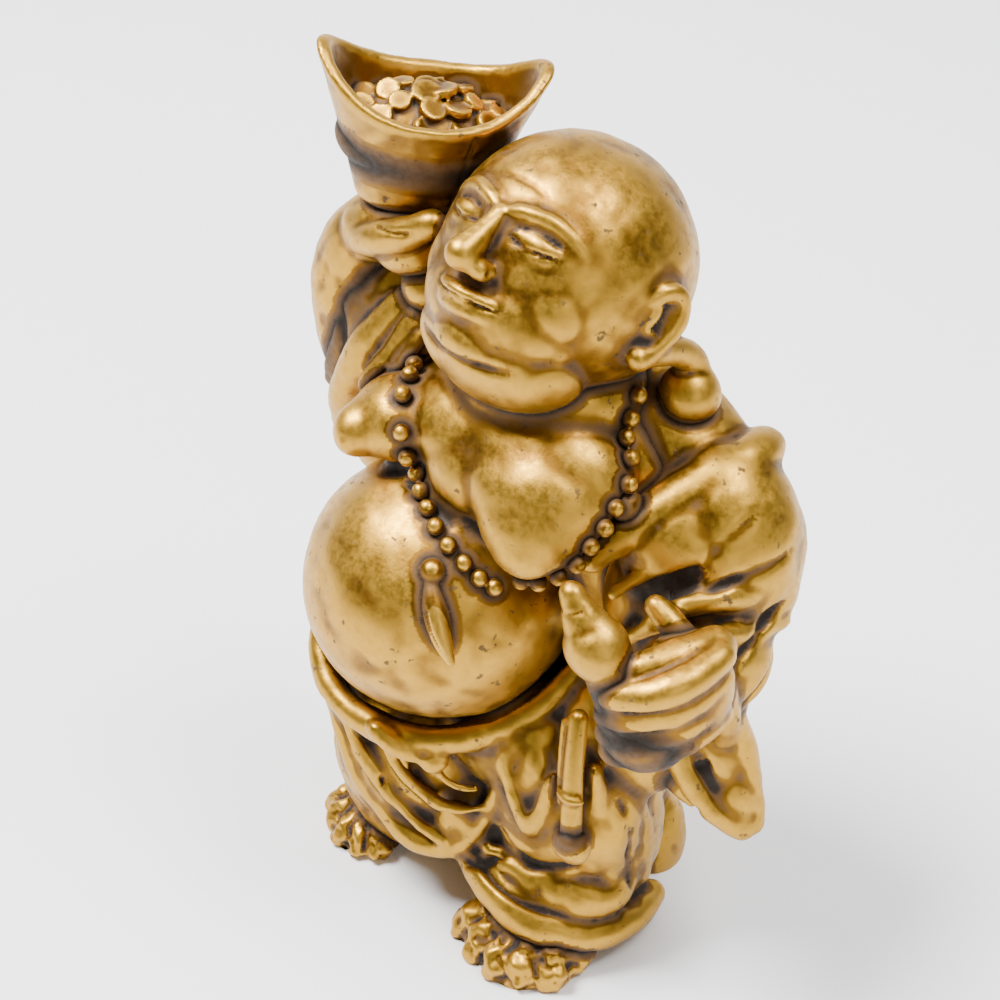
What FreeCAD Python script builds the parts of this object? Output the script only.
"""Laughing-monk figurine: a small cast figure, parted into its sculpted forms.

The frame is +Z up with the figure facing -Y and its own left hand on +X. The origin is
on the surface that the figure stands on, under the middle of the robe. Millimetres.

Every rounded form is a lump: an ellipsoid with its own half sizes, placed from the form
that carries it by shares of that form's half sizes. When a form grows, whatever sits on
it moves along. Each piece then loses the space of all the pieces finished before it, so
neighbours meet face to face.
"""
import FreeCAD, Part
import math
import os

doc = FreeCAD.newDocument("LaughingMonk")
sheet = doc.addObject("Spreadsheet::Sheet", "Sizes")
next_row = 1
forms = []
half_sizes = {}


def size(alias, value):
    """Put one driving value in the sheet and return its name for use in expressions."""
    global next_row
    sheet.set("A%d" % next_row, alias)
    sheet.set("B%d" % next_row, str(value))
    sheet.setAlias("B%d" % next_row, alias)
    next_row += 1
    return "Sizes." + alias


def bind(thing, **formulas):
    """Tie properties of an object to expressions; place_x, place_y, place_z set its Base."""
    for name, formula in formulas.items():
        path = "Placement.Base." + name[-1] if name.startswith("place_") else name
        thing.setExpression(path, formula)


def on(carrier, share_x, share_y, share_z):
    """Expressions of a point at given shares of a carrying form's half sizes."""
    shares = (share_x, share_y, share_z)
    return ["%s.Placement.Base.%s + (%s) * %s * 1 mm" % (carrier, axis, share, half)
            for axis, share, half in zip("xyz", shares, half_sizes[carrier])]


def set_place(thing, name, carrier, shares):
    """Tie an object's place to its carrier, with the three shares kept in the sheet."""
    share_names = [size(name + "_at_" + axis, share) for axis, share in zip("xyz", shares)]
    place = on(carrier, *share_names) if carrier else share_names
    bind(thing, place_x=place[0], place_y=place[1], place_z=place[2])


def lump(name, carrier, shares, halves, turn=(0, 0, 0)):
    """Add one ellipsoid: shares of its carrier, half sizes (x, y, z), turn (yaw, pitch, roll)."""
    body = doc.addObject("Part::Ellipsoid", name)
    body.Placement.Rotation = FreeCAD.Rotation(*turn)
    half_sizes[name] = [size(name + "_half_" + axis, half) for axis, half in zip("xyz", halves)]
    bind(body, Radius2=half_sizes[name][0], Radius3=half_sizes[name][1], Radius1=half_sizes[name][2])
    set_place(body, name, carrier, shares)
    return body


def ball(name, carrier, shares, radius):
    """Add one sphere at shares of its carrier."""
    body = doc.addObject("Part::Sphere", name)
    half_sizes[name] = [size(name + "_radius", radius)] * 3
    bind(body, Radius=half_sizes[name][0])
    set_place(body, name, carrier, shares)
    return body


def drum(name, carrier, shares, radius, length, axis, top_radius=None):
    """Add a cylinder or a cone that starts at shares of its carrier and runs along an axis."""
    body = doc.addObject("Part::Cylinder" if top_radius is None else "Part::Cone", name)
    body.Placement.Rotation = FreeCAD.Rotation(FreeCAD.Vector(0, 0, 1), FreeCAD.Vector(*axis))
    foot_radius = size(name + "_radius", radius)
    if top_radius is None:
        bind(body, Radius=foot_radius)
    else:
        bind(body, Radius1=foot_radius, Radius2=size(name + "_top_radius", top_radius))
    bind(body, Height=size(name + "_length", length))
    set_place(body, name, carrier, shares)
    return body


def join(name, parts):
    """Fuse several overlapping forms into one."""
    if len(parts) == 1:
        return parts[0]
    fused = doc.addObject("Part::MultiFuse", name + "Raw")
    fused.Shapes = parts
    return fused


def form(node, raw, ground=False):
    """Plan one piece: its raw form keeps all space that no earlier form has taken."""
    forms.append((node, raw, ground))


# ---- ground: the flat surface that the robe and the feet are cut to
ground_reach = size("ground_reach", 200)
below_ground = doc.addObject("Part::Box", "BelowGround")
bind(below_ground, Length=ground_reach, Width=ground_reach, Height=ground_reach,
     place_x="0 - %s / 2" % ground_reach, place_y="0 - %s / 2" % ground_reach,
     place_z="0 - " + ground_reach)

# ---- carrying forms of the body, from the skirt on the ground up to the head
skirt_core = lump("SkirtCore", None, (-2, -5, 0), (25, 17, 44))
belly = ball("Belly", "SkirtCore", (-0.33, -0.74, 1.26), 20.2)
chest_radius = size("chest_radius", 14)
chest_half_width = size("chest_half_width", 22)
chest = doc.addObject("Part::Sphere", "Chest")
half_sizes["Chest"] = [chest_half_width, chest_radius, chest_radius]
bind(chest, Radius=chest_radius)
set_place(chest, "Chest", "Belly", (0.45, 0.58, 1.15))
shoulders = []
for side, sign in (("Right", "-"), ("Left", "+")):
    shoulder = doc.addObject("Part::Sphere", "ChestEnd" + side)
    bind(shoulder, Radius=chest_radius, place_y="Chest.Placement.Base.y", place_z="Chest.Placement.Base.z",
         place_x="Chest.Placement.Base.x %s (%s - %s) * 1 mm" % (sign, chest_half_width, chest_radius))
    shoulders.append(shoulder)
chest_bar = doc.addObject("Part::Cylinder", "ChestBar")
chest_bar.Placement.Rotation = FreeCAD.Rotation(FreeCAD.Vector(0, 0, 1), FreeCAD.Vector(1, 0, 0))
bind(chest_bar, Radius=chest_radius, Height="2 * (%s - %s)" % (chest_half_width, chest_radius),
     place_x="ChestEndRight.Placement.Base.x", place_y="Chest.Placement.Base.y",
     place_z="Chest.Placement.Base.z")
breast_right = ball("BreastRight", "Chest", (-0.84, -0.80, 0.08), 7.4)
breast_left = ball("BreastLeft", "Chest", (0.42, -1.00, 0.05), 9.6)
neck = ball("Neck", "Chest", (0.05, 0.0, 0.72), 12)
skull = ball("Skull", "Neck", (0.02, 0.20, 1.46), 18.4)

# ---- torso: belly, chest, both breasts and the neck, with a bore for the head's spigot
spigot_radius = size("spigot_radius", 5) + " * 1 mm"
spigot_length = size("spigot_length", 6) + " * 1 mm"
spigot_clearance = size("spigot_clearance", 0.1) + " * 1 mm"
torso_raw = join("Torso", [belly, chest_bar] + shoulders + [breast_right, breast_left, neck])
bore = doc.addObject("Part::Cylinder", "NeckBore")
bind(bore, Radius="%s + %s" % (spigot_radius, spigot_clearance),
     Height="%s + %s + Skull.Radius" % (spigot_length, spigot_clearance),
     place_x="Neck.Placement.Base.x", place_y="Neck.Placement.Base.y",
     place_z="Skull.Placement.Base.z - Skull.Radius - %s - %s" % (spigot_length, spigot_clearance))
torso = doc.addObject("Part::Cut", "TorsoBored")
torso.Base = torso_raw
torso.Tool = bore
form("torso", torso)

# ---- head: an egg-shaped bald skull, a nose, and the spigot that stands in the neck
nose = ball("Nose", "Skull", (-0.12, -0.68, 0.72), 3.0)
spigot = doc.addObject("Part::Cylinder", "HeadSpigot")
bind(spigot, Radius=spigot_radius, Height=spigot_length + " + Skull.Radius / 2",
     place_x="Neck.Placement.Base.x", place_y="Neck.Placement.Base.y",
     place_z="Skull.Placement.Base.z - Skull.Radius - " + spigot_length)
form("head", join("Head", [skull, nose, spigot]))

# ---- ears: a flat shell with a long lobe that ends in a ball
for side, node, shell_at, ball_at, ball_radius in (
        ("Left", "ear_left", (0.80, 0.20, -0.14), (1.03, 0.18, -0.76), 4.3),
        ("Right", "ear_right", (-1.06, 0.04, -0.12), (-1.16, -0.12, -0.52), 3.8)):
    shell = drum("EarShell" + side, "Skull", shell_at, 6.0, 4.6, (1, 0, 0))
    lobe = drum("EarLobe" + side, "Skull", (ball_at[0], ball_at[1], ball_at[2]), 2.4, 7.0, (0, 0, 1))
    form(node, join("Ear" + side, [shell, lobe, ball("EarBall" + side, "Skull", ball_at, ball_radius)]))

# ---- necklace: one row of beads along a path over the chest, the breasts and the belly
bead_radius = size("bead_radius", 1.2)
BEAD_PATH = (
    ("BreastRight", (0.20, 0.25, 0.97), 2), ("BreastRight", (0.80, -0.35, 0.60), 3),
    ("Belly", (-0.12, -0.14, 1.00), 2), ("Belly", (0.14, -0.38, 0.93), 2),
    ("Belly", (0.34, -0.53, 0.80), 2), ("Belly", (0.58, -0.51, 0.68), 2),
    ("Belly", (0.81, -0.34, 0.53), 3), ("BreastLeft", (0.34, -0.50, -0.80), 2),
    ("BreastLeft", (0.80, -0.40, -0.50), 2), ("BreastLeft", (0.98, -0.25, 0.02), 2),
    ("BreastLeft", (0.98, 0.22, 0.20), 2), ("Chest", (0.80, -0.46, 0.42), 1),
    ("Chest", (0.76, -0.26, 0.64), 2), ("Neck", (0.96, -0.10, 0.20), 0))
beads = []
for (start_on, start_at, count), (end_on, end_at, _) in zip(BEAD_PATH, BEAD_PATH[1:]):
    start = on(start_on, *start_at)
    end = on(end_on, *end_at)
    for step in range(count):
        bead = doc.addObject("Part::Sphere", "Bead")
        along = step / count
        spots = ["(1 - %.4f) * (%s) + %.4f * (%s)" % (along, a, along, b) for a, b in zip(start, end)]
        bind(bead, Radius=bead_radius, place_x=spots[0], place_y=spots[1], place_z=spots[2])
        beads.append(bead)
bead_row = doc.addObject("Part::Compound", "BeadRow")
bead_row.Links = beads
form("necklace_beads", bead_row)

# ---- necklace pendant: a small bead and a flat leaf lying on the belly
pendant_bead = lump("PendantBead", "Belly", (0.37, -0.67, 0.64), (1.5, 1.5, 2.2))
pendant_leaf = lump("PendantLeaf", "Belly", (0.52, -0.76, 0.36), (2.0, 2.2, 5.4), (0, -28, -6))
form("necklace_pendant", join("Pendant", [pendant_bead, pendant_leaf]))

# ---- side bead: the oval stud beside the left breast
form("side_bead", ball("SideBead", "Chest", (0.92, -0.50, 0.10), 2.2))

# ---- left arm: shoulder and cuff forms carry the hand, the gourd and the hanging sleeve
shoulder_left = lump("ShoulderLeft", "Chest", (1.24, 0.26, -0.60), (12, 12, 16), (0, -6, 0))
cuff_left = lump("CuffLeft", "ShoulderLeft", (0.42, -0.60, -0.92), (9, 9.5, 10))
palm_left = ball("PalmLeft", "ShoulderLeft", (0.30, -1.70, -0.52), 7.2)

# ---- gourd: a lower and an upper bulb, held at the waist, with a stem nub on top
gourd_low = ball("GourdLow", "PalmLeft", (0.10, -0.50, -0.86), 6.9)
gourd_up = ball("GourdUp", "PalmLeft", (-0.80, -0.80, 0.80), 4.9)
gourd_waist = ball("GourdWaist", "PalmLeft", (-0.36, -0.66, 0.06), 4.2)
form("gourd", join("Gourd", [gourd_low, gourd_waist, gourd_up]))
form("gourd_stem", drum("GourdStem", "GourdUp", (-0.40, 0.0, 0.66), 2.0, 3.6, (-0.62, 0, 0.78), 1.4))

# ---- left hand: a fist, with the palm behind the gourd and the fingers curled round its front
knuckles = ball("KnucklesLeft", "GourdLow", (0.80, -0.30, 0.10), 5.6)
fingers_left = ball("FingersLeft", "GourdLow", (0.0, -0.62, 0.12), 5.2)
form("left_hand", join("HandLeft", [palm_left, knuckles, fingers_left]))

# ---- raised right arm: forearm and elbow carry the open palm
forearm_right = lump("ForearmRight", "Chest", (-1.60, 0.25, 1.22), (6.2, 6.5, 11), (0, 12, 0))
elbow_right = lump("ElbowRight", "ForearmRight", (-0.16, 0.05, -0.95), (6.4, 7.5, 10), (0, -6, 0))
palm_right = ball("PalmRight", "ForearmRight", (1.70, 0.0, 0.86), 7.8)

# ---- ingot: a boat-shaped gold bar, hollow above, with raised ends and a dipped rim
ingot_foot_long = size("ingot_foot_long", 8.8)
ingot_foot_wide = size("ingot_foot_wide", 5.5)
ingot_rim_long = size("ingot_rim_long", 15.6)
ingot_rim_wide = size("ingot_rim_wide", 11.0)
ingot_tip_rise = size("ingot_tip_rise", 22.4)
ingot_dip_rise = size("ingot_dip_rise", 16.0)
ingot_wall = size("ingot_wall", 1.8)
ingot_floor = size("ingot_floor", 6.0)
INGOT_TURN = FreeCAD.Rotation(35, 6.7, 2.7)


def oval(name, long_half, wide_half, rise):
    """One closed oval outline at a given height of the ingot."""
    outline = doc.addObject("Part::Ellipse", name)
    bind(outline, MajorRadius=long_half, MinorRadius=wide_half, place_z=rise)
    return outline


def oval_loft(name, low, high):
    """A solid with straight flaring sides between two ovals."""
    loft = doc.addObject("Part::Loft", name)
    loft.Sections = [low, high]
    loft.Solid = True
    loft.Ruled = True
    return loft


floor_share = "%s / %s" % (ingot_floor, ingot_tip_rise)
long_at_floor = "%s + (%s - %s) * %s" % (ingot_foot_long, ingot_rim_long, ingot_foot_long, floor_share)
wide_at_floor = "%s + (%s - %s) * %s" % (ingot_foot_wide, ingot_rim_wide, ingot_foot_wide, floor_share)
hull = oval_loft("IngotHull", oval("HullFoot", ingot_foot_long, ingot_foot_wide, "0"),
                 oval("HullRim", ingot_rim_long, ingot_rim_wide, ingot_tip_rise))
hollow = oval_loft("IngotHollow",
                   oval("HollowFloor", long_at_floor + " - " + ingot_wall, wide_at_floor + " - " + ingot_wall,
                        ingot_floor),
                   oval("HollowRim", ingot_rim_long + " - " + ingot_wall, ingot_rim_wide + " - " + ingot_wall,
                        ingot_tip_rise))
dip = "(%s - %s)" % (ingot_tip_rise, ingot_dip_rise)
saddle_radius = "(%s ^ 2 + %s ^ 2) / (2 * %s)" % (ingot_rim_long, dip, dip)
saddle = doc.addObject("Part::Cylinder", "RimSaddle")
saddle.Placement.Rotation = FreeCAD.Rotation(FreeCAD.Vector(1, 0, 0), 90)
bind(saddle, Radius=saddle_radius, Height="4 * " + ingot_rim_wide, place_y="2 * " + ingot_rim_wide,
     place_z="%s + %s" % (ingot_dip_rise, saddle_radius))
room_in_hull = join("HullCutters", [hollow, saddle])
ingot_raw = doc.addObject("Part::Cut", "IngotRaw")
ingot_raw.Base = hull
ingot_raw.Tool = room_in_hull
ingot_raw.Placement.Rotation = INGOT_TURN
ingot_seat = on("PalmRight", 0.0, 0.14, 0.20)
bind(ingot_raw, place_x=ingot_seat[0], place_y=ingot_seat[1], place_z=ingot_seat[2])
form("ingot", ingot_raw)

# ---- coins: a mound on the floor of the hollow with loose coins on it
coin_radius = size("coin_radius", 2.4)
coin_thickness = size("coin_thickness", 1.2)
coin_sink = size("coin_sink", 0.4)
mound_rise = size("mound_rise", 5.5)
mound_top_long = size("mound_top_long", 7.6)
mound_top_wide = size("mound_top_wide", 4.6)
COINS_ROUND = 6
COIN_RING_SHARE = 0.66
mound = oval_loft("CoinMound",
                  oval("MoundFoot", long_at_floor + " - " + ingot_wall, wide_at_floor + " - " + ingot_wall,
                       ingot_floor),
                  oval("MoundTop", mound_top_long, mound_top_wide, "%s + %s" % (ingot_floor, mound_rise)))
coins = [mound]
for number in range(COINS_ROUND + 1):
    angle = 2 * math.pi * number / COINS_ROUND
    reach = COIN_RING_SHARE if number < COINS_ROUND else 0
    step_up = 0 if reach else 1
    coin = doc.addObject("Part::Cylinder", "Coin")
    bind(coin, Radius=coin_radius, Height=coin_thickness,
         place_x="%.4f * %s" % (reach * math.cos(angle), mound_top_long),
         place_y="%.4f * %s" % (reach * math.sin(angle), mound_top_wide),
         place_z="%s + %s - %s + %d * (%s - %s)" % (ingot_floor, mound_rise, coin_sink, step_up,
                                                 coin_thickness, coin_sink))
    coins.append(coin)
coins_raw = join("Coins", coins)
coins_raw.Placement.Rotation = INGOT_TURN
bind(coins_raw, place_x=ingot_seat[0], place_y=ingot_seat[1], place_z=ingot_seat[2])
form("ingot_coins", coins_raw)

# ---- right hand under the ingot, then the bare forearm
thumb_right = ball("ThumbRight", "PalmRight", (0.78, -0.62, 0.42), 3.4)
fingers_right = ball("FingersRight", "PalmRight", (-0.30, 0.72, 0.42), 4.6)
form("right_hand", join("HandRight", [palm_right, thumb_right, fingers_right]))
form("right_forearm", join("ArmRight", [forearm_right, elbow_right]))

# ---- feet: bare and flat underneath, the row of toes in front
for side, node, foot_at, foot_half, toes_half, yaw in (
        ("Left", "left_foot", (0.60, -1.38, 0.03), (10.5, 7.5, 5.6), (9.4, 3.6, 3.4), 0),
        ("Right", "right_foot", (-0.82, -0.82, 0.03), (6.5, 7.0, 5.4), (5.6, 3.4, 3.2), -25)):
    foot = lump("Foot" + side, "SkirtCore", foot_at, foot_half, (yaw, 0, 0))
    toes = lump("Toes" + side, "Foot" + side, (0.05, -0.72, 0.06), toes_half, (yaw, 0, 0))
    form(node, join("FootAll" + side, [foot, toes]), ground=True)

# ---- waist: the rolled top edge of the skirt under the belly, and its knot
form("waist_roll", lump("WaistRoll", "Belly", (0.06, 0.06, -0.56), (20.5, 19.0, 3.4), (0, -18, 8)))
form("waist_knot", lump("WaistKnot", "Belly", (0.22, -0.55, -1.05), (3.4, 3.0, 3.4)))

# ---- sash: a narrow strip hanging between the legs, with a round tassel end
thigh_left = lump("ThighLeft", "SkirtCore", (0.62, -0.46, 0.42), (14, 13, 20))
thigh_right = lump("ThighRight", "SkirtCore", (-0.56, -0.56, 0.38), (14.5, 13, 19))
form("sash_strip", lump("SashStrip", "ThighLeft", (0.30, -0.82, 0.88), (1.8, 2.2, 11)))
form("sash_tassel", ball("SashTassel", "ThighLeft", (0.42, -0.90, 0.34), 2.9))

# ---- left sleeve, its hanging end, and the rolled collar across the shoulder
form("left_sleeve", join("SleeveLeft", [shoulder_left, cuff_left]))
form("left_sleeve_drop", lump("SleeveDrop", "CuffLeft", (0.42, -0.05, -1.62), (6.2, 5.6, 13), (0, -20, 0)))
form("collar_roll", lump("CollarRoll", "ShoulderLeft", (0.04, -0.46, 0.60), (13, 3.6, 3.8), (56, -17, 0)))

# ---- right sleeve: the cloth that hangs from the raised arm
form("right_sleeve", drum("SleeveRight", "Chest", (-1.48, 0.20, -0.95), 9.0, 31, (0.10, 0, 1), 7.5))

# ---- cloth of the lower robe: the two leg drapes, the hem round the left ankle, the rest
form("right_leg_drape", thigh_right, ground=True)
form("left_leg_drape", thigh_left, ground=True)
form("hem_band", lump("HemBand", "ThighLeft", (0.08, -0.06, -0.52), (15.0, 13.6, 4.2), (0, 0, -6)))
form("centre_drape", lump("CentreDrape", "ThighLeft", (-0.30, -0.66, 0.62), (5, 4, 9), (0, 6, 0)))
form("skirt", skirt_core, ground=True)
form("back_hem", lump("BackHem", "SkirtCore", (0.84, 0.56, 0.06), (8, 7, 9)), ground=True)
form("robe_back", lump("RobeBack", "SkirtCore", (0.08, 0.35, 1.42), (26, 14.2, 33.5), (8, 2, 0)))

# ---- trim each form by the ground and by every earlier form whose bounds meet its own
doc.recompute()
finished = []
for number, (node, raw, ground) in enumerate(forms):
    cutters = [below_ground] if ground else []
    cutters += [other for _, other, _ in forms[:number]
                if other.Shape.BoundBox.intersect(raw.Shape.BoundBox)]
    piece = raw
    for cutter in cutters:
        trimmed = doc.addObject("Part::Cut", "%s_minus_%s" % (node, cutter.Name))
        trimmed.Base = piece
        trimmed.Tool = cutter
        piece = trimmed
    piece.Label = node
    finished.append(piece)
doc.recompute()

# ---- check every object and write one file per piece
for thing in doc.Objects:
    if "Invalid" in thing.State or "Error" in thing.State:
        raise RuntimeError("%s (%s) failed: %s" % (thing.Name, thing.Label, thing.State))
for piece in finished:
    if piece.Shape.isNull() or not piece.Shape.isValid():
        raise RuntimeError("%s has no valid shape" % piece.Label)
os.makedirs("parts", exist_ok=True)
for piece in finished:
    piece.Shape.exportStep("parts/%s.step" % piece.Label)
    print("%-18s solids %2d  volume %9.1f" % (piece.Label, len(piece.Shape.Solids), piece.Shape.Volume))
